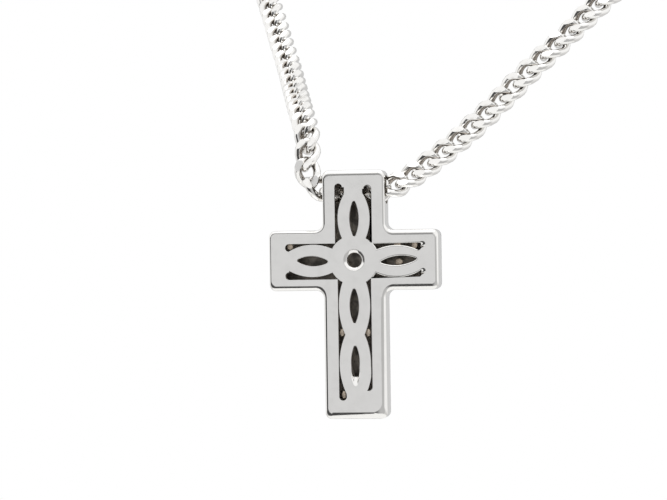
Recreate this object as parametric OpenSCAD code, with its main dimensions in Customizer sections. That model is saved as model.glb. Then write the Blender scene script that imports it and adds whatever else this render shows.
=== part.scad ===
// Cross necklace: a pierced, hollow cross on a curb chain.
// The frame has +Z up and the cross faces -Y. The origin is the nape, where the clasp rests.

/* [Cross] */
// Height of the cross
cross_h = 32.6; // [26:0.1:36]
// Width across the two side arms
cross_w = 22.4; // [18:0.1:25]
// Depth from front to back
cross_t = 4.6; // [4.6:0.1:5]
// Height of the top arm above the crossing's middle
top_h = 11.8; // [11.4:0.1:12.6]
// Width of the upright at the top
upright_w = 8.2; // [7.8:0.1:9]
// Height of the side arms
arm_w = 7.9; // [7.6:0.1:8.6]
// Width of the bevel round the edges
bevel = 0.45; // [0.2:0.05:0.6]
// Radius of the four inner corners
corner_r = 1; // [0.6:0.1:1.4]
// Radius of the eight outer corners
edge_r = 0.85; // [0.65:0.05:0.9]
// Thickness of the pierced front plate
front_t = 0.8; // [0.6:0.1:1]
// Thickness of the plain back plate
back_t = 0.6; // [0.5:0.1:0.8]
// Thickness of the side walls
wall_t = 0.9; // [0.6:0.1:1.1]
// Radius of the tunnel for the chain
tunnel_r = 1.92; // [1.9:0.01:1.95]
// Height of the tunnel above the crossing's middle
tunnel_z = 9.25; // [9.2:0.05:9.3]

/* [Pierced pattern] */
// Radius of the disc at the crossing
disc_r = 3.25; // [3:0.05:3.4]
// Radius of the hole in the disc
hole_r = 0.9; // [0.6:0.05:1.1]
// Radius of the sunk rim round that hole
rim_r = 1.35; // [1.2:0.05:1.6]
// Radius of the rounded tips of the leaf-shaped openings
tip_r = 0.2; // [0.05:0.05:0.4]

/* [Chain] */
// Distance from one link to the next
pitch = 2.55; // [2.5:0.01:2.6]
// Width of the chain
chain_w = 3.6; // [3.5:0.05:3.65]
// Thickness of the wire
wire_d = 0.84; // [0.8:0.02:0.86]
// Radius of the round of the necklace at the neck
neck_r = 56.4; // [52:0.1:60]

/* [Hidden] */
$fn = 48;

// Curb link: a squarish oval loop whose ends are twisted against each other
link_sides = 10;
wire_sides = 5;
link_square = 3.2;
link_twist = 58;
link_play = 0.27;
link_a = (pitch + wire_d + link_play) / 2;
link_b = (chain_w - wire_d) / 2;
wire_turn = 36;

// Pierced field, hand-cut and a little uneven. In each table the first column is the turn from the top arm.
// Arms: the half widths of the field on either side, then where the slots on these sides end
arms = [
    [0, 2.46, 2.36, 10.05, 9.8],
    [90, 2.49, 2.21, 9.1, 9.1],
    [-90, 2.18, 2.31, 9.15, 9.15],
    [180, 2.2, 2.18, 17.1, 18.35]
];
// Loops: the middle, half length and half width, and how far the middle lies to the side
loops = [
    [0, 5.45, 4.7, 2.13, 0.03],
    [90, 5.45, 4.7, 2.12, -0.03],
    [-90, 5.6, 4.7, 2.03, 0.19],
    [180, 5.95, 5.9, 2.08, 0],
    [180, 13.55, 5.9, 2.08, 0]
];
// Leaf-shaped openings: as the loops, then how far the leaf leans
leaves = [
    [0, 5.42, 2.3, 0.6, 0.07, 0],
    [90, 5.5, 2.02, 0.65, -0.07, -3],
    [-90, 5.85, 2.4, 0.68, 0.1, 4.5],
    [180, 5.98, 2.25, 0.6, 0.04, 0],
    [180, 13.33, 2.12, 0.55, 0, 0]
];
// The side arms reach a little further to the left than to the right
arm_side = -0.1;
head_r = 0.5;
neck_w = 1.2;
neck_l = 2;
sunk = 0.35;
past = 0.1;

// Plane of the necklace: how steep it is, and which way it climbs
loop_tilt = 51;
loop_turn = 29;
neck_up = 92.5;
neck_shift = -6;
across = [cos(loop_turn), -sin(loop_turn), 0];
uphill = [sin(loop_turn) * cos(loop_tilt), cos(loop_turn) * cos(loop_tilt), sin(loop_tilt)];
plane_face = cross(across, uphill);
function neck_point(q) = across * (neck_shift + neck_r * cos(q)) + uphill * (neck_up + neck_r * sin(q));

// Route of the chain, from the middle of the tunnel. Columns: the point, then the way the flat side faces
right_route = [
    [[4.4, 0, 0], [0, -1, 0]],
    [[7.35, 0.5, 1.65], [-0.1, -1, 0.2]],
    [[11.4, 1.5, 4.55], [-0.2, -0.9, 0.35]],
    [[17, 2.4, 9.45], [-0.2, -0.9, 0.35]],
    [[22.45, 3.1, 14.85], [-0.2, -0.9, 0.35]],
    [[27.9, 4, 19.95], [-0.2, -0.8, 0.6]],
    [[33.65, 5.6, 25.6], [-0.2, -0.9, 0.35]],
    [[41.25, 8.4, 32.85], [-0.3, -0.8, 0.5]],
    [[52.8, 12.8, 44.4], [-0.4, -0.7, 0.6]]
];
left_route = [
    [[-4.55, 0, 0], [0, -1, 0]],
    [[-6.15, 0, 1.4], [0, -1, 0]],
    [[-6.6, 0, 4.1], [-0.2, -1, 0]],
    [[-6.2, 0.5, 5.85], [-0.3, -1, 0]],
    [[-6.7, 1.8, 8.1], [-0.05, -0.8, 0.5]],
    [[-7.5, 4, 9.8], [-0.2, -0.5, 0.8]],
    [[-8.45, 7.4, 11.4], [-0.2, -0.5, 0.8]],
    [[-9.85, 13, 13.65], [-0.2, -0.5, 0.8]],
    [[-11.75, 20, 17.15], [-0.2, -0.5, 0.8]],
    [[-14.4, 28, 22.2], [-0.2, -0.5, 0.8]],
    [[-18, 38, 29.65], [-0.3, -0.6, 0.7]],
    [[-23.2, 51, 41.1], [-0.4, -0.6, 0.6]]
];
turn_first = -20;
turn_step = 24;
right_turns = [for (i = [0:6]) turn_first + i * turn_step];
left_turns = [for (q = right_turns) 180 - q];
route = concat(
    [for (i = [len(left_turns) - 1:-1:0]) [neck_point(left_turns[i]), plane_face]],
    [for (i = [len(left_route) - 1:-1:0]) left_route[i]],
    [[[0, 0, 0], [0, -1, 0]]],
    right_route,
    [for (q = right_turns) [neck_point(q), plane_face]]
);
middle_row = len(left_turns) + len(left_route);
nape = neck_point(90);

// Smooth curve through the route's points, with a table of the length along it
steps = 12;
function bend(a, b, c, d, t) = 0.5 * (2 * b + (c - a) * t + (2 * a - 5 * b + 4 * c - d) * t * t
    + (3 * b - a - 3 * c + d) * t * t * t);
function pick(col, i) = route[max(0, min(len(route) - 1, i))][col];
function curve(col) = [for (i = [0:len(route) - 2]) for (j = [0:steps - 1])
    bend(pick(col, i - 1), pick(col, i), pick(col, i + 1), pick(col, i + 2), j / steps)];
line = curve(0);
face = curve(1);
run = [for (i = 0, s = 0; i < len(line); s = s + (i + 1 < len(line) ? norm(line[i + 1] - line[i]) : 0),
    i = i + 1) s];
mid = run[middle_row * steps];
function table(list, c) = [for (i = [0:len(list) - 1]) [run[i] - mid, list[i][c]]];
line_x = table(line, 0);
line_y = table(line, 1);
line_z = table(line, 2);
face_x = table(face, 0);
face_y = table(face, 1);
face_z = table(face, 2);
function at(s) = [lookup(s, line_x), lookup(s, line_y), lookup(s, line_z)];
function facing(s) = [lookup(s, face_x), lookup(s, face_y), lookup(s, face_z)];
function unit(v) = v / norm(v);

// Length of each side, from the middle of the tunnel to the nape. The last row but one lies past the nape
past_nape = neck_r * (right_turns[len(right_turns) - 2] - 90) * PI / 180;
right_len = run[(middle_row + len(right_route) + len(right_turns) - 1) * steps] - mid - past_nape;
left_len = mid - run[steps] - past_nape;

// Clasp and its two rings take up what whole links leave over
ring_wire = 0.6;
ring_r = 2.1;
ring_play = 0.36;
clasp_bar = 1.1;
clasp_t = 1.1;
clasp_w = 2.1;
clasp_min = 4;
clasp_play = 0.26;
ring_in = link_a - (wire_d + ring_wire) / 2 - ring_play + ring_r;
clasp_in = ring_in + ring_r - (ring_wire + clasp_bar) / 2 - clasp_play;
right_links = floor((right_len - clasp_in - clasp_min) / pitch);
left_links = floor((left_len - clasp_in - clasp_min) / pitch);
right_over = right_len - right_links * pitch;
left_over = left_len - left_links * pitch;
clasp_l = (right_over + left_over) / 2 - clasp_in;
clasp_s = (left_over - right_over) / 2;

// One link: rings of points round the wire's middle line
function power(v, e) = sign(v) * pow(abs(v), e);
function link_mid(q) = let (x = link_a * power(cos(q), 2 / link_square),
    r = link_b * power(sin(q), 2 / link_square), turn = link_twist * x / link_a)
    [x, r * cos(turn), r * sin(turn)];
link_step = 360 / link_sides;
link_points = [for (q = [0:link_step:359]) let (c = link_mid(q),
    u = unit(link_mid(q + link_step) - link_mid(q - link_step)),
    out = unit(c - (c * u) * u), up = cross(u, out))
    for (j = [0:wire_sides - 1]) let (w = 360 * j / wire_sides + wire_turn)
    c + wire_d / 2 * (cos(w) * out + sin(w) * up)];
link_faces = [for (i = [0:link_sides - 1]) for (j = [0:wire_sides - 1])
    let (a = i * wire_sides, b = (i + 1) % link_sides * wire_sides, n = (j + 1) % wire_sides)
    for (f = [[a + j, b + n, a + n], [a + j, b + j, b + n]]) f];

// Points of the link that lies between its two joints, half a pitch before and after length s on the route
function placed(s) = let (a = at(s - pitch / 2), b = at(s + pitch / 2), o = (a + b) / 2, u = unit(b - a),
    f = facing(s), n = unit(f - (f * u) * u), side = cross(n, u))
    [for (p = link_points) o + p[0] * u + p[1] * side + p[2] * n];

// A row of links, as one body of many loose rings
module links(first, last) {
    count = len(link_points);
    polyhedron(
        points = [for (k = [first:last]) each placed(k * pitch)],
        faces = [for (k = [first:last]) for (f = link_faces) [for (v = f) v + (k - first) * count]],
        convexity = 10
    );
}

// Places the parts drawn round the tunnel's middle, or round the nape, in the necklace's own frame
module from_tunnel() {
    translate(-nape) children();
}
module at_nape(s) {
    q = 90 + s / neck_r * 180 / PI;
    o = neck_point(q) - nape;
    x = uphill * cos(q) - across * sin(q);
    y = across * cos(q) + uphill * sin(q);
    multmatrix([for (i = [0:2]) [x[i], y[i], -plane_face[i], o[i]]]) children();
}

// Outline of a bar's section with its corners cut
function cut_corners(a, b, c) =
    [[c, 0], [a - c, 0], [a, c], [a, b - c], [a - c, b], [c, b], [0, b - c], [0, c]];

// Bar with bevelled edges, standing on z = low
module bar(w, low, h) {
    translate([-w / 2, 0, low]) intersection() {
        linear_extrude(h) polygon(cut_corners(w, cross_t, bevel));
        rotate([90, 0, 90]) linear_extrude(w) polygon(cut_corners(cross_t, h, bevel));
    }
}

// Filled inner corner with a bevelled, hollow round
module inner_corner() {
    difference() {
        translate([upright_w / 2 - bevel, 0, arm_w / 2 - bevel])
            cube([corner_r + bevel, cross_t, corner_r + bevel]);
        translate([upright_w / 2 + corner_r, 0, arm_w / 2 + corner_r]) rotate([-90, 0, 0]) {
            cylinder(h = cross_t, r = corner_r);
            cylinder(h = bevel, r1 = corner_r + bevel, r2 = corner_r);
            translate([0, 0, cross_t - bevel]) cylinder(h = bevel, r1 = corner_r, r2 = corner_r + bevel);
        }
    }
}

// Takes an outer corner down to a bevelled round. x and z are the corner's, and the bar lies towards 0
module outer_corner(x, z) {
    translate([x - sign(x) * edge_r, 0, z - sign(z) * edge_r]) difference() {
        mirror([x > 0 ? 0 : 1, 0, 0]) mirror([0, 0, z > 0 ? 0 : 1]) translate([0, -past, 0])
            cube([edge_r + past, cross_t + 2 * past, edge_r + past]);
        rotate([-90, 0, 0]) {
            cylinder(h = bevel, r1 = edge_r - bevel, r2 = edge_r);
            translate([0, 0, bevel]) cylinder(h = cross_t - 2 * bevel, r = edge_r);
            translate([0, 0, cross_t - bevel]) cylinder(h = bevel, r1 = edge_r, r2 = edge_r - bevel);
        }
    }
}

// Leaf shape between two arcs
module leaf(l, w) {
    arc_r = (l * l + w * w) / (2 * w);
    intersection() {
        translate([w - arc_r, 0]) circle(arc_r, $fn = 96);
        translate([arc_r - w, 0]) circle(arc_r, $fn = 96);
    }
}

// The same with its tips rounded
module rounded_leaf(l, w) {
    tip = l - tip_r;
    arc_r = (tip * tip + w * w - tip_r * tip_r) / (2 * (w - tip_r));
    intersection() {
        translate([w - arc_r, 0]) circle(arc_r, $fn = 96);
        translate([arc_r - w, 0]) circle(arc_r, $fn = 96);
        square([2 * w, 2 * tip * arc_r / (arc_r - tip_r)], center = true);
    }
    for (m = [-1, 1]) translate([0, m * tip]) circle(tip_r);
}

// The disc, the loops and the necks that tie them to the frame
module ornament() {
    circle(disc_r);
    for (a = loops) rotate(a[0]) translate([a[4], a[1]]) leaf(a[2], a[3]);
    for (a = arms) rotate(a[0]) translate([-neck_w, a[3] - neck_l]) square([2 * neck_w, 2 * neck_l]);
}

// Everything that is cut through the front plate
module openings() {
    difference() {
        for (a = arms) for (m = [0, 1]) rotate(a[0]) mirror([m, 0]) {
            translate([-a[1 + m], 0]) square([a[1 + m], a[3 + m] - head_r]);
            translate([head_r - a[1 + m], a[3 + m] - head_r]) circle(head_r);
        }
        ornament();
    }
    for (a = leaves) rotate(a[0]) translate([a[4], a[1]]) rotate(a[5]) rounded_leaf(a[2], a[3]);
}

// Hollow inside the walls
module hollow() {
    translate([-upright_w / 2 + wall_t, front_t, top_h - cross_h + wall_t])
        cube([upright_w - 2 * wall_t, cross_t - front_t - back_t, cross_h - 2 * wall_t]);
    translate([arm_side - cross_w / 2 + wall_t, front_t, -arm_w / 2 + wall_t])
        cube([cross_w - 2 * wall_t, cross_t - front_t - back_t, arm_w - 2 * wall_t]);
}

// The pierced, hollow cross, drilled from side to side for the chain
module pierced_cross() {
    color("silver") from_tunnel() translate([0, -cross_t / 2, -tunnel_z]) difference() {
        union() {
            bar(upright_w, top_h - cross_h, cross_h);
            translate([arm_side, 0, 0]) bar(cross_w, -arm_w / 2, arm_w);
            for (x = [0, 1]) for (z = [0, 1]) mirror([x, 0, 0]) mirror([0, 0, z]) inner_corner();
        }
        for (x = [-1, 1]) {
            for (z = [top_h, top_h - cross_h]) outer_corner(x * upright_w / 2, z);
            for (z = [-1, 1]) outer_corner(arm_side + x * cross_w / 2, z * arm_w / 2);
        }
        hollow();
        translate([0, front_t + past, 0]) rotate([90, 0, 0]) linear_extrude(front_t + 2 * past) openings();
        translate([0, -past, 0]) rotate([-90, 0, 0]) cylinder(h = front_t + 2 * past, r = hole_r);
        rotate([-90, 0, 0]) cylinder(h = sunk, r1 = rim_r, r2 = hole_r);
        translate([-upright_w, cross_t / 2, tunnel_z]) rotate([0, 90, 0])
            cylinder(h = 2 * upright_w, r = tunnel_r);
    }
}

// The two sides of the curb chain, which meet inside the tunnel
module chain_left() {
    color("gainsboro") from_tunnel() links(-left_links, -1);
}
module chain_right() {
    color("gainsboro") from_tunnel() links(0, right_links);
}

// Closed flat hook at the nape, long along x
module oval(l, r) {
    square([2 * l, 2 * r], center = true);
    for (m = [-1, 1]) translate([m * l, 0]) circle(r);
}
module clasp() {
    sag = neck_r - sqrt(neck_r * neck_r - clasp_l * clasp_l);
    color("silver") at_nape(clasp_s) translate([0, -sag, -clasp_t / 2]) linear_extrude(clasp_t) difference() {
        oval(clasp_l - clasp_w, clasp_w + clasp_bar / 2);
        oval(clasp_l - clasp_w, clasp_w - clasp_bar / 2);
    }
}

// Round wire ring that joins the chain's end to the clasp, square across both
module ring(s) {
    color("silver") at_nape(s) rotate([90, 0, 0])
        rotate_extrude() translate([ring_r, 0]) circle(d = ring_wire);
}

pierced_cross();  // cross
chain_left();
chain_right();
clasp();
ring(left_over - ring_in);  // ring_left
ring(ring_in - right_over);  // ring_right
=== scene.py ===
import math
import random

import bmesh
import bpy
import numpy
from mathutils import Matrix, Vector


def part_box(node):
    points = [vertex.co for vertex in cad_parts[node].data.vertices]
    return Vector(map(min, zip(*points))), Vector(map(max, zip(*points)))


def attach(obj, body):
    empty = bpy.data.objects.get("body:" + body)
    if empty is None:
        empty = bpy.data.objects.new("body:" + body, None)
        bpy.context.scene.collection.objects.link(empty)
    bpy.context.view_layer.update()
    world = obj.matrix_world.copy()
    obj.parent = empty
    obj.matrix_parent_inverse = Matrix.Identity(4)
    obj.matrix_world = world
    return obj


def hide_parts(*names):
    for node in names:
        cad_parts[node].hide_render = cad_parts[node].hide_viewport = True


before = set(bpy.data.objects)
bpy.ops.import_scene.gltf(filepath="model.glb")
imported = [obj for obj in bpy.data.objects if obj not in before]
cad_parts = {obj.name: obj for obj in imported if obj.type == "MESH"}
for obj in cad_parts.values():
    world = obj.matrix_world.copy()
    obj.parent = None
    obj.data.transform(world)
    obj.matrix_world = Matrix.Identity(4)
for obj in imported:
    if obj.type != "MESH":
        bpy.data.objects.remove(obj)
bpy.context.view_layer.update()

# The pierced cross is one hollow silver casting, filed flat on its face and polished over every edge.
# The hollow was left dark with tarnish. Its openings have softly rubbed lips, brighter than the face.
mm = 0.001
edge_beside = {"top": (0.33, 0.5), "foot": (0.44, 0.65), "end": (0.31, 0.6)}
edge_above = {"left": (0.38, 0.76), "right": (0.95, 1.04), "end": (0.9, 0.89)}
edge_depth = 0.8 * mm
mouth_depth = 0.36 * mm
tunnel_height = 9.25
mouth_half = 1
upright_half = 4.1
arm_end_begins = 8
top_arm_begins = 3.8
edge_steps = 10
outer_corner = 0.85 * mm
face_corner = 0.6 * mm
worn_corner = Vector((4.2, 0, -20.8))
worn_radius = 1.3 * mm
worn_reach = 4
worn_hollow = 0.6
back_round = 0.16 * mm
slot_lip = 0.02
leaf_lip = 0.06
bright_leaf_lip = 0.1
bright_leaf_inner = 0.07
rim_lip = 0.07
right_slot_end = 8.5
ledge_width = 0.45
ledge_wear = 0.3
ledge_depth = 0.35
foot_slot_end = -13.5
foot_slot_fade = 2
foot_slot_narrowing = 0.22
wedge_top = -14
wedge_height = 1.45
lip_steps = 4
longest_mitre = 0.35
merge_distance = 0.002 * mm
face_wall = 0.8 * mm
rim_radius = 1.4 * mm
rim_depth = 0.4 * mm
side_break = math.radians(80)
rim_break = math.radians(30)
sheen_break = math.radians(32)
silver_light = (0.95, 0.94, 0.92, 1)
silver_dull = (0.89, 0.88, 0.86, 1)
tarnish_dark = (0.22, 0.2, 0.175, 1)
tarnish_brown = (0.75, 0.69, 0.61, 1)
# Small flattened lumps sit just behind the face inside a few openings. Their pale beige colour is a painted
# glint, brighter than the tarnish around them.
painted_glint_colour = (0.72, 0.62, 0.51, 1)
glint_lumps = ((5.7, 1.95, 0.5, 0.45, 0.4), (7.95, 1.9, 0.5, 0.4, 0.5), (5.8, -0.3, 1.1, 0.55, 0.5),
                (-1.72, -9.45, 0.45, 0.3, 0.5), (1.72, -9.5, 0.45, 0.3, 0.5), (-1.6, -17.6, 0.5, 0.3, 0.5),
                (-8.5, 1.85, 0.5, 0.4, 0.4))


def merged_copy(node):
    """A bmesh of a CAD node's shape, its loose triangles joined into flat faces."""
    bm = bmesh.new()
    bm.from_mesh(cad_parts[node].data)
    bmesh.ops.remove_doubles(bm, verts=bm.verts, dist=merge_distance)
    bmesh.ops.dissolve_limit(bm, angle_limit=math.radians(0.5), verts=bm.verts, edges=bm.edges)
    return bm


def finish_piece(bm, name, body, materials, nodes):
    """Makes a bmesh a piece that stands for CAD nodes and rides on their body."""
    mesh = bpy.data.meshes.new(name)
    bm.to_mesh(mesh)
    bm.free()
    piece = bpy.data.objects.new(name, mesh)
    bpy.context.scene.collection.objects.link(piece)
    for material in materials:
        mesh.materials.append(material)
    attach(piece, body)
    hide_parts(*nodes)
    return piece


def wire_up(tree, kind, sockets, **settings):
    """Adds a shader node with its settings, and gives its sockets their values or links."""
    made = tree.nodes.new(kind)
    for name, value in settings.items():
        setattr(made, name, value)
    for socket, value in sockets.items():
        if isinstance(value, bpy.types.NodeSocket):
            tree.links.new(value, made.inputs[socket])
        else:
            made.inputs[socket].default_value = value
    return made


def blend_colours(tree, factor, low, high):
    """The socket of a colour that goes from low to high with factor."""
    mix = wire_up(tree, "ShaderNodeMix", {}, data_type="RGBA")
    for socket, value in ((mix.inputs[0], factor), (mix.inputs[6], low), (mix.inputs[7], high)):
        if isinstance(value, bpy.types.NodeSocket):
            tree.links.new(value, socket)
        else:
            socket.default_value = value
    return mix.outputs[2]


def eased_range(tree, value, start, end, low=0, high=1):
    """The socket of a value read between start and end, and eased from low to high."""
    sockets = {"Value": value, "From Min": start, "From Max": end, "To Min": low, "To Max": high}
    return wire_up(tree, "ShaderNodeMapRange", sockets, interpolation_type="SMOOTHSTEP").outputs[0]


def worn_silver(name, smudge_size, scratch_depth):
    """A polished silver material with cloudy smudges and fine scratches, with its tree and its shader."""
    material = bpy.data.materials.new(name)
    material.use_nodes = True
    tree = material.node_tree
    shader = tree.nodes["Principled BSDF"]
    shader.inputs["Metallic"].default_value = 1
    place = tree.nodes.new("ShaderNodeTexCoord").outputs["Object"]
    cloudy = {"Vector": place, "Scale": 1 / smudge_size, "Detail": 4}
    smudges = wire_up(tree, "ShaderNodeTexNoise", cloudy).outputs[0]
    tree.links.new(blend_colours(tree, smudges, silver_light, silver_dull), shader.inputs["Base Color"])
    tree.links.new(eased_range(tree, smudges, 0.3, 0.7, 0.05, 0.15), shader.inputs["Roughness"])
    stretched = wire_up(tree, "ShaderNodeMapping", {"Vector": place, "Rotation": (0.3, 0.5, 0.2),
                                                    "Scale": (600, 600, 14000)}).outputs[0]
    scratches = wire_up(tree, "ShaderNodeTexNoise", {"Vector": stretched, "Scale": 1, "Detail": 3}).outputs[0]
    bump = wire_up(tree, "ShaderNodeBump", {"Height": scratches, "Strength": 0.3, "Distance": scratch_depth})
    tree.links.new(bump.outputs[0], shader.inputs["Normal"])
    return material, tree, shader


def open_loops(bm):
    """The closed runs of edges that have a face on one side only, each as its vertices in order."""
    border = [e for e in bm.edges if len(e.link_faces) == 1]
    left = set(border)
    loops = []
    for first in border:
        if first not in left:
            continue
        left.remove(first)
        run = list(first.verts)
        while True:
            edge = next((e for e in run[-1].link_edges if e in left), None)
            if edge is None:
                break
            left.remove(edge)
            run.append(edge.other_vert(run[-1]))
        loops.append(run[:-1])
    return loops


def span_of(run, axis):
    """How far a loop of vertices reaches along an axis."""
    values = [v.co[axis] for v in run]
    return max(values) - min(values)


def edges_of(bm, run):
    """The edges of a closed loop of vertices."""
    return [bm.edges.get((run[i - 1], run[i])) for i in range(len(run))]


def into_metal(run):
    """For each vertex of a loop on the front face, the mitred way straight out of the loop."""
    flat = [Vector((v.co.x, 0, v.co.z)) for v in run]
    count = len(flat)
    area = sum(flat[i - 1].x * flat[i].z - flat[i].x * flat[i - 1].z for i in range(count))
    turn = 1 if area > 0 else -1

    def step_from(i, way):
        steps = (flat[(i + way * k) % count] - flat[i] for k in range(1, count))
        return next(step for step in steps if step.length > merge_distance).normalized()

    ways = []
    for i in range(count):
        before, after = -step_from(i, -1), step_from(i, 1)
        out_before = Vector((before.z, 0, -before.x)) * turn
        out_after = Vector((after.z, 0, -after.x)) * turn
        way = (out_before + out_after).normalized()
        ways.append(way / max(longest_mitre, way.dot(out_after)))
    return ways


def roll_over(bm, run, curves, steps):
    """Rounds a loop's wall over onto the front face, along a curve of three points for each vertex."""
    for v, (start, middle, end) in zip(run, curves):
        v.co = start
    for step in range(1, steps + 1):
        t = step / steps
        made = bmesh.ops.extrude_edge_only(bm, edges=edges_of(bm, run))["geom"]
        fresh = {v for v in made if isinstance(v, bmesh.types.BMVert)}
        run = [next(e.other_vert(v) for e in v.link_edges if e.other_vert(v) in fresh) for v in run]
        for v, (start, middle, end) in zip(run, curves):
            v.co = start * (1 - t) ** 2 + middle * 2 * t * (1 - t) + end * t * t
    return run


def edge_curve(place, way):
    """The round from the side wall to the face. The polish ran furthest in over the right and lower edges."""
    from_middle = (place - crossing) / mm
    if abs(from_middle.z - tunnel_height) < mouth_half:
        way = Vector((math.copysign(1, from_middle.x), 0, 0))
        place = Vector((crossing.x + way.x * upright_half * mm, place.y, place.z))
    out = way.normalized()
    side_end, upright_end = abs(from_middle.x) > arm_end_begins, abs(from_middle.z) > arm_end_begins
    upright = "end" if side_end else "top" if from_middle.z > 0 else "foot"
    beside = edge_beside[upright][out.x > 0] * mm
    side_arm = "end" if upright_end else "left" if from_middle.x < 0 else "right"
    above = edge_above[side_arm][out.z < 0] * mm
    worn = (from_middle - worn_corner).length < worn_reach
    depth = edge_depth
    if from_middle.z > top_arm_begins:
        depth = mouth_depth + (edge_depth - mouth_depth) * out.z ** 2
    start = place + Vector((0, depth, 0))
    end = place - way * (out.x ** 2 * beside + out.z ** 2 * above)
    if (side_end or upright_end) and min(abs(out.x), abs(out.z)) > 0.01:
        spare = outer_corner - (worn_radius if worn else face_corner)
        inset_x = math.copysign(1, out.x) * (spare - beside)
        inset_z = math.copysign(1, out.z) * (spare - above)
        end = place + Vector((inset_x, 0, inset_z)) - out * spare
    return start, place.lerp((start + end) / 2, worn_hollow * worn), end


def lip_curve(place, way, plain):
    """The lip of an opening, from its wall to the face. The cutter slipped at a few of the openings' ends."""
    out = way.normalized()
    from_middle = (place - crossing) / mm
    inner = bright_leaf_inner if plain == bright_leaf_lip else 0
    outer, down, straight = plain, plain, 0
    if from_middle.x > right_slot_end:
        straight = max(0, out.x) ** 2
        tip = max(0, out.dot((0.8, 0, 0.6))) ** 4
        heel = max(0, out.dot((0.7, 0, -0.7))) ** 2
        inner = ledge_width * straight
        outer = plain + ledge_wear * tip - ledge_wear * heel
        down = plain + ledge_depth * straight
    if from_middle.z < foot_slot_end and from_middle.x > 1:
        fade = min(1, (foot_slot_end - from_middle.z) / foot_slot_fade)
        outer -= foot_slot_narrowing * max(0, -out.x) * fade
    start = place + (Vector((0, down, 0)) - way * inner) * mm
    end = place + way * outer * mm
    if abs(from_middle.x) < 1:
        straight = min(1, max(0, (wedge_top - from_middle.z) / wedge_height))
        side = math.copysign(4 * straight * (1 - straight), from_middle.x)
        start += Vector((0.1 * side, 0.45 * straight, 0.15 * straight)) * mm
        end += Vector((0.14 * side, 0, -0.95 * straight)) * mm
    return start, place.lerp((start + end) / 2, straight), end


def skin_from(face, steepest):
    """The faces reached from one face without crossing an edge sharper than steepest."""
    skin, edge_faces = {face}, [face]
    while edge_faces:
        for edge in edge_faces.pop().edges:
            for other in edge.link_faces:
                if other not in skin and edge.calc_face_angle(0) < steepest:
                    skin.add(other)
                    edge_faces.append(other)
    return skin


low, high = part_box("cross")
crossing = Vector((-40.18, low.y / mm, -124.97)) * mm
bm = merged_copy("cross")
back = next(f for f in bm.faces if f.calc_center_median().y > high.y - 0.01 * mm)
skin = skin_from(back, side_break)
front = [f for f in bm.faces if f in skin and f.normal.y < -0.3
         and (f.normal.y < -0.99 or (f.calc_center_median() - crossing).length > 2 * rim_radius)]
bmesh.ops.delete(bm, geom=front, context="FACES")
skin = {f for f in skin if f.is_valid}
rims = [e for e in bm.edges if len(e.link_faces) == 2 and skin.issuperset(e.link_faces)
        and e.calc_face_angle() > rim_break]
bmesh.ops.bevel(bm, geom=rims, offset=back_round, offset_type="OFFSET", segments=4, profile=0.5,
                affect="EDGES", material=-1, clamp_overlap=False)
back = max((f for f in bm.faces if f.normal.y > 0.999), key=lambda f: f.calc_center_median().y)
skin = skin_from(back, side_break)
for f in bm.faces:
    middle = f.calc_center_median() - crossing
    sunk_rim = middle.y < rim_depth and math.hypot(middle.x, middle.z) < rim_radius and f.normal.y < -0.2
    f.material_index = 0 if f in skin or sunk_rim else 1
walls = set(bm.faces)
rings = []
for run in open_loops(bm):
    ways = into_metal(run)
    wide, tall = span_of(run, 0), span_of(run, 2)
    places = [Vector((v.co.x, low.y, v.co.z)) for v in run]
    if wide > 0.8 * (high.x - low.x):
        rings.append(roll_over(bm, run, [edge_curve(*both) for both in zip(places, ways)], edge_steps))
        continue
    lone_leaf = min(wide, tall) < 2.5 * mm
    right_leaf = lone_leaf and min(v.co.x for v in run) > crossing.x + 2 * mm
    rim = abs(wide - tall) < 0.1 * mm and wide < 3 * mm
    plain = rim_lip if rim else bright_leaf_lip if right_leaf else leaf_lip if lone_leaf else slot_lip
    rings.append(roll_over(bm, run, [lip_curve(*both, plain) for both in zip(places, ways)], lip_steps))
edges = [edge for run in rings for edge in edges_of(bm, run)]
bmesh.ops.triangle_fill(bm, edges=edges, use_beauty=True, use_dissolve=False, normal=(0, -1, 0))
bmesh.ops.recalc_face_normals(bm, faces=bm.faces)
for f in bm.faces:
    f.smooth = True
    if f not in walls:
        f.material_index = 0
for e in bm.edges:
    e.smooth = e.calc_face_angle(0) < sheen_break
for e in edges:
    e.smooth = False
# The flattened lumps inside a few openings, given the pale beige material of a painted glint.
for x, z, depth, half_width, half_height in glint_lumps:
    lump = Matrix.Translation(crossing + Vector((x, depth, z)) * mm)
    lump @= Matrix.Diagonal((half_width * mm, 0.2 * mm, half_height * mm, 1))
    for v in bmesh.ops.create_uvsphere(bm, u_segments=12, v_segments=8, radius=1, matrix=lump)["verts"]:
        for f in v.link_faces:
            f.material_index = 2
            f.smooth = True

face_silver = worn_silver("filed silver face", 1.2 * mm, 0.004 * mm)[0]

hollow = bpy.data.materials.new("tarnished hollow")
hollow.use_nodes = True
tree = hollow.node_tree
shader = tree.nodes["Principled BSDF"]
place = tree.nodes.new("ShaderNodeTexCoord").outputs["Object"]
place = wire_up(tree, "ShaderNodeMapping", {"Vector": place, "Location": -crossing}).outputs[0]
depth = wire_up(tree, "ShaderNodeSeparateXYZ", {0: place}).outputs["Y"]
deep = eased_range(tree, depth, 0.02 * mm, face_wall * 0.7)
blotches = wire_up(tree, "ShaderNodeTexNoise", {"Vector": place, "Scale": 700, "Detail": 5}).outputs[0]
grime = blend_colours(tree, eased_range(tree, blotches, 0.35, 0.65), tarnish_dark, tarnish_brown)
tree.links.new(blend_colours(tree, deep, silver_dull, grime), shader.inputs["Base Color"])
tree.links.new(eased_range(tree, depth, 0, face_wall, 0.15, 0.45), shader.inputs["Roughness"])
tree.links.new(eased_range(tree, depth, 0, face_wall, 1, 0.3), shader.inputs["Metallic"])
bump = wire_up(tree, "ShaderNodeBump", {"Height": blotches, "Strength": 0.6, "Distance": 0.05 * mm})
tree.links.new(bump.outputs[0], shader.inputs["Normal"])

# The lumps' material: pale beige metal that stands in for glints, a painted highlight.
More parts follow.
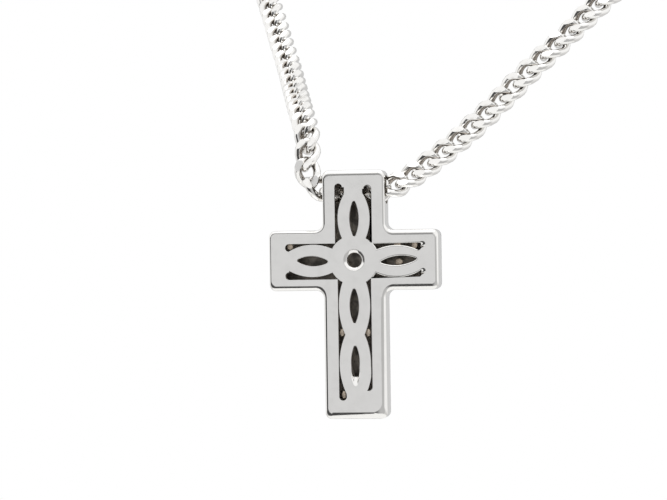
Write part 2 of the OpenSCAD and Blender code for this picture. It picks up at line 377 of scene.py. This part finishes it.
glint_lump_material = bpy.data.materials.new("glint lumps")
glint_lump_material.use_nodes = True
shader = glint_lump_material.node_tree.nodes["Principled BSDF"]
shader.inputs["Base Color"].default_value = painted_glint_colour
shader.inputs["Metallic"].default_value = 0.6
shader.inputs["Roughness"].default_value = 0.4
finish_piece(bm, "pierced_cross", "pendant", [face_silver, hollow, glint_lump_material], ["cross"])

# The curb chain is soldered silver wire links, each twisted so that the chain lies flat, then filed.
# The filing leaves a bright flat on every bend of the wire, front and back. Both sides share one link.
link_half_length = 1.80 * mm
chain_width = 3.53 * mm
wire = 1.03 * mm
squareness = 2.7
link_twist = math.radians(58)
flat_height = 0.95 * mm
wire_sides = 10
link_steps = 28
# The inner side of each link's loop is darker and browner: partly duller, less polished wire, partly painted
# shade between the interlocked links.
inner_dull_and_shade = (0.34, 0.305, 0.27, 1)
mouth_roll = math.radians(30)
mouth_reach = 5.5 * mm
lean_towards = (-0.5, 0, 1)
loose_roll = math.radians(6)
loose_pitch = math.radians(4)
chance = random.Random(4)
tunnel = crossing + Vector((0, 2.3, tunnel_height)) * mm


def on_oval(angle):
    """The wire's middle line: a squarish oval, turned further the nearer it is to the link's ends."""
    def eased(value):
        return math.copysign(abs(value) ** (2 / squareness), value)
    x = link_half_length * eased(math.cos(angle))
    out = (chain_width - wire) / 2 * eased(math.sin(angle))
    turn = link_twist * x / link_half_length
    return Vector((x, out * math.cos(turn), out * math.sin(turn)))


def curb_link():
    """One finished link as a mesh, long along X and flat across Z."""
    bm = bmesh.new()
    round_wire = bmesh.ops.create_circle(bm, segments=wire_sides, radius=wire / 2)["verts"]
    bmesh.ops.rotate(bm, verts=round_wire, cent=(0, 0, 0), matrix=Matrix.Rotation(math.pi / 2, 3, "X"))
    bmesh.ops.translate(bm, verts=round_wire, vec=(chain_width, 0, 0))
    bmesh.ops.spin(bm, geom=bm.verts[:] + bm.edges[:], cent=(0, 0, 0), axis=(0, 0, 1), angle=math.tau,
                   steps=link_steps, use_merge=True)
    bmesh.ops.remove_doubles(bm, verts=bm.verts, dist=0.001 * mm)
    inside = bm.verts.layers.float.new("inside")
    for v in bm.verts:
        angle = math.atan2(v.co.y, v.co.x)
        across, above = math.hypot(v.co.x, v.co.y) - chain_width, v.co.z
        middle = on_oval(angle)
        along = (on_oval(angle + 0.1) - on_oval(angle - 0.1)).normalized()
        out = (middle - along * middle.dot(along)).normalized()
        v.co = middle + out * across + along.cross(out) * above
        v[inside] = max(0, -across / (wire / 2))
    for side in (1, -1):
        cut = bmesh.ops.bisect_plane(bm, geom=bm.verts[:] + bm.edges[:] + bm.faces[:], clear_outer=True,
                                     plane_co=(0, 0, side * flat_height), plane_no=(0, 0, side))
        edges = [e for e in cut["geom_cut"] if isinstance(e, bmesh.types.BMEdge)]
        bmesh.ops.holes_fill(bm, edges=edges, sides=0)
        for e in edges:
            e.smooth = False
    bmesh.ops.recalc_face_normals(bm, faces=bm.faces)
    for f in bm.faces:
        f.smooth = True
    mesh = bpy.data.meshes.new("curb link")
    bm.to_mesh(mesh)
    bm.free()
    return mesh


def link_places(node):
    """Where each link of a CAD chain lies. Links near the tunnel roll over, unless they stand upright."""
    bm = bmesh.new()
    bm.from_mesh(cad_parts[node].data)
    bmesh.ops.remove_doubles(bm, verts=bm.verts, dist=merge_distance)
    found, places = set(), []
    for first in bm.verts:
        if first in found:
            continue
        found.add(first)
        island = [first]
        for v in island:
            around = [e.other_vert(v) for e in v.link_edges if e.other_vert(v) not in found]
            found.update(around)
            island.extend(around)
        middle = sum((v.co for v in island), Vector()) / len(island)
        spread = numpy.array([v.co - middle for v in island])
        thick, wide, long = [Vector(axis) for axis in numpy.linalg.eigh(spread.T @ spread)[1].T]
        place = Matrix.Translation(middle) @ Matrix((long, wide, long.cross(wide))).transposed().to_4x4()
        near_mouth = min(1, max(0, 2 - (middle - tunnel).length / mouth_reach))
        lying = min(1, max(0, 3 - 3.3 * abs(long.z)))
        roll = mouth_roll * near_mouth * lying
        side = math.copysign(1, -thick.y) * math.copysign(1, thick.dot(long.cross(wide)))
        lean = math.copysign(roll, -side * wide.dot(lean_towards))
        lean += chance.uniform(-loose_roll, loose_roll) * (1 - near_mouth)
        pitch = chance.uniform(-loose_pitch, loose_pitch) * (1 - near_mouth)
        places.append(place @ Matrix.Rotation(lean, 4, "X") @ Matrix.Rotation(pitch, 4, "Y"))
    bm.free()
    return places


link = curb_link()
chain_silver, tree, shader = worn_silver("filed silver chain", 0.8 * mm, 0.003 * mm)
inside = wire_up(tree, "ShaderNodeAttribute", {}, attribute_name="inside").outputs["Fac"]
worn = shader.inputs["Base Color"].links[0].from_socket
# Towards the inner side of the loop the colour goes to that darker tone: duller wire in part, painted shade
# in part.
dull_and_shade_mask = eased_range(tree, inside, 0.2, 1)
tree.links.new(blend_colours(tree, dull_and_shade_mask, worn, inner_dull_and_shade), shader.inputs["Base Color"])
tree.links.new(eased_range(tree, inside, 0.2, 1, 0.08, 0.3), shader.inputs["Roughness"])
for node in ("chain_left", "chain_right"):
    bm = bmesh.new()
    for place in link_places(node):
        made = len(bm.verts)
        bm.from_mesh(link)
        bm.verts.ensure_lookup_table()
        bmesh.ops.transform(bm, matrix=place, verts=bm.verts[made:])
    finish_piece(bm, "curb_" + node, "necklace", [chain_silver], [node])


# Two round rings join the chain's ends to the clasp. Each is round silver wire, bent and soldered shut.
# The CAD shape is right as it is, so the rings only get their finish.
ring_silver = worn_silver("drawn silver ring", 0.6 * mm, 0.003 * mm)[0]
for node in ("ring_left", "ring_right"):
    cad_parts[node].material_slots[0].material = ring_silver

# The clasp rests at the nape, where the photograph doesn't show it. It is one plain cast oval of silver.
# Its edges are tumbled smooth.
clasp_edge = 0.18 * mm
clasp_silver = worn_silver("tumbled silver clasp", 1.0 * mm, 0.004 * mm)[0]
bm = merged_copy("clasp")
edges = [e for e in bm.edges if e.calc_face_angle(0) > math.radians(40)]
bmesh.ops.bevel(bm, geom=edges, offset=clasp_edge, offset_type="OFFSET", segments=3, profile=0.5,
                affect="EDGES", material=-1, clamp_overlap=True)
for f in bm.faces:
    f.smooth = True
clasp = finish_piece(bm, "oval_clasp", "necklace", [clasp_silver], ["clasp"])
clasp.data.set_sharp_from_angle(angle=sheen_break)

# The studio is a white tent of light with a grey card behind the camera, and a pale floor far below.
# The grey card fills the polished face, and the dark gap round it draws the lines along the edges.
floor_height = -500 * mm
floor_radius = 400 * mm
floor_colour = (0.9, 0.9, 0.89, 1)
white = (1, 1, 1, 1)
tent_low = (0.66, 0.655, 0.65, 1)
tent_behind = (0.62, 0.62, 0.62, 1)
card_grey = (0.694, 0.696, 0.701, 1)
card_rim = (-0.945, -0.96)
gap_rim = (-0.74, -0.82)
lamp_height = 0.9
bm = bmesh.new()
bmesh.ops.create_circle(bm, cap_ends=True, segments=64, radius=floor_radius)
bmesh.ops.translate(bm, verts=bm.verts, vec=(crossing.x, crossing.y / 2, floor_height))
mesh = bpy.data.meshes.new("floor")
bm.to_mesh(mesh)
bm.free()
floor = bpy.data.objects.new("floor", mesh)
bpy.context.scene.collection.objects.link(floor)
pale = bpy.data.materials.new("pale floor")
pale.use_nodes = True
shader = pale.node_tree.nodes["Principled BSDF"]
shader.inputs["Base Color"].default_value = floor_colour
shader.inputs["Roughness"].default_value = 0.9
mesh.materials.append(pale)

world = bpy.data.worlds.new("light tent")
bpy.context.scene.world = world
world.use_nodes = True
tree = world.node_tree
direction = tree.nodes.new("ShaderNodeTexCoord").outputs["Generated"]
towards = wire_up(tree, "ShaderNodeSeparateXYZ", {0: direction}).outputs
tent = blend_colours(tree, eased_range(tree, towards["Z"], -0.6, 0.1), tent_low, white)
tent = blend_colours(tree, eased_range(tree, towards["Y"], 0.6, 0.9), tent, tent_behind)
gap = wire_up(tree, "ShaderNodeMath", {0: eased_range(tree, towards["X"], -0.05, 0.35, 0.07, 0.5),
                                       1: eased_range(tree, towards["Z"], 0.1, 0.5, 0, 0.25)}).outputs[0]
low_gap = wire_up(tree, "ShaderNodeMath", {0: eased_range(tree, towards["Y"], -0.25, -0.45),
                                           1: eased_range(tree, towards["Z"], 0.3, 0.05)},
                  operation="MULTIPLY").outputs[0]
gap_mask = wire_up(tree, "ShaderNodeMath", {0: eased_range(tree, towards["Y"], *gap_rim), 1: low_gap},
                   operation="MAXIMUM").outputs[0]
around = blend_colours(tree, gap_mask, tent, gap)
ahead_of_face = blend_colours(tree, eased_range(tree, towards["Y"], *card_rim), around, card_grey)
seen = wire_up(tree, "ShaderNodeLightPath", {}).outputs["Is Camera Ray"]
backdrop = blend_colours(tree, seen, ahead_of_face, white)
tree.links.new(backdrop, tree.nodes["Background"].inputs["Color"])

lamp = bpy.data.objects.new("overhead softbox", bpy.data.lights.new("overhead softbox", "AREA"))
bpy.context.scene.collection.objects.link(lamp)
lamp.data.size = 1
lamp.data.energy = 3
lamp.location = crossing + Vector((0, 0.1, lamp_height))

# The camera stands 8.5 degrees to the right of square, as in the photograph, tipped by under a degree.
# It is aimed a little above the crossing and to the left of it.
yaw = math.radians(8.5)
roll = math.radians(0.8)
camera_distance = 350 * mm
aim_beside = 2.65
aim_above = 1.37
ahead = Vector((-math.sin(yaw), math.cos(yaw), 0))
across = Vector((math.cos(yaw), math.sin(yaw), 0))
camera = bpy.data.objects.new("camera", bpy.data.cameras.new("camera"))
bpy.context.scene.collection.objects.link(camera)
bpy.context.scene.camera = camera
camera.data.lens = 144.5
camera.data.clip_start = 0.01
stand = crossing - ahead * camera_distance - across * aim_beside * mm
camera.location = stand + Vector((0, 0, aim_above)) * mm
level = ahead.to_track_quat("-Z", "Y").to_matrix()
camera.rotation_euler = (Matrix.Rotation(roll, 3, ahead) @ level).to_euler()
bpy.context.scene.view_settings.view_transform = "Standard"
